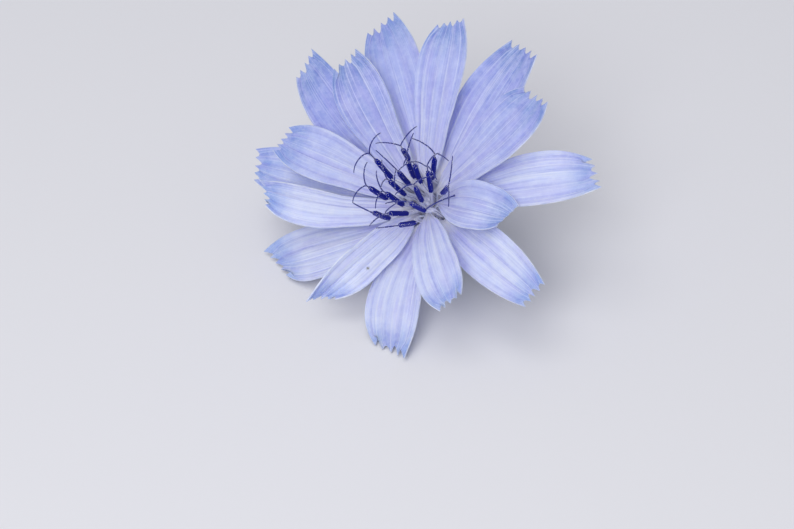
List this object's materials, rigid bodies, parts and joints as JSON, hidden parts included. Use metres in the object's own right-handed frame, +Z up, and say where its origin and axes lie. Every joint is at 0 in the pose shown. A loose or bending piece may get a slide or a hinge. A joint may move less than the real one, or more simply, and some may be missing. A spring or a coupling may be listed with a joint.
{
  "type": "chicory flower",
  "caption": "Open blue chicory flower head with toothed strap petals, dark anther tubes and curled style arms over a green bracted cup, lying on its cut stalk and lowest petals.",
  "frame": {"origin": "on the surface that the flower rests on, under the middle of its bounding box", "axes": "+Z up from the surface, +X to the right of the picture, -Y towards the camera; the face of the head looks up and forwards, leaning towards -X and -Y"},
  "size_m": [0.0394, 0.034, 0.0273],
  "materials": {
    "petal": "soft, satin",
    "anthers": "satin, dusted with pollen",
    "style": "velvety",
    "involucre": "satin, finely hairy"
  },
  "bodies": {
    "root": {"floret_01_ligule": "petal", "floret_01_anthers": "anthers", "floret_01_style": "style", "floret_02_ligule": "petal", "floret_02_anthers": "anthers", "floret_02_style": "style", "floret_03_ligule": "petal", "floret_03_anthers": "anthers", "floret_03_style": "style", "floret_04_ligule": "petal", "floret_04_anthers": "anthers", "floret_04_style": "style", "floret_05_ligule": "petal", "floret_05_anthers": "anthers", "floret_05_style": "style", "floret_06_ligule": "petal", "floret_06_anthers": "anthers", "floret_06_style": "style", "floret_07_ligule": "petal", "floret_07_anthers": "anthers", "floret_07_style": "style", "floret_08_ligule": "petal", "floret_08_anthers": "anthers", "floret_08_style": "style", "floret_09_ligule": "petal", "floret_09_anthers": "anthers", "floret_09_style": "style", "floret_10_ligule": "petal", "floret_10_anthers": "anthers", "floret_10_style": "style", "floret_11_ligule": "petal", "floret_11_anthers": "anthers", "floret_11_style": "style", "floret_12_ligule": "petal", "floret_12_anthers": "anthers", "floret_12_style": "style", "floret_13_ligule": "petal", "floret_13_anthers": "anthers", "floret_13_style": "style", "floret_14_ligule": "petal", "floret_14_anthers": "anthers", "floret_14_style": "style", "floret_15_ligule": "petal", "floret_15_anthers": "anthers", "floret_15_style": "style", "floret_16_ligule": "petal", "floret_16_anthers": "anthers", "floret_16_style": "style", "involucre": "involucre"}
  },
  "joints": []
}
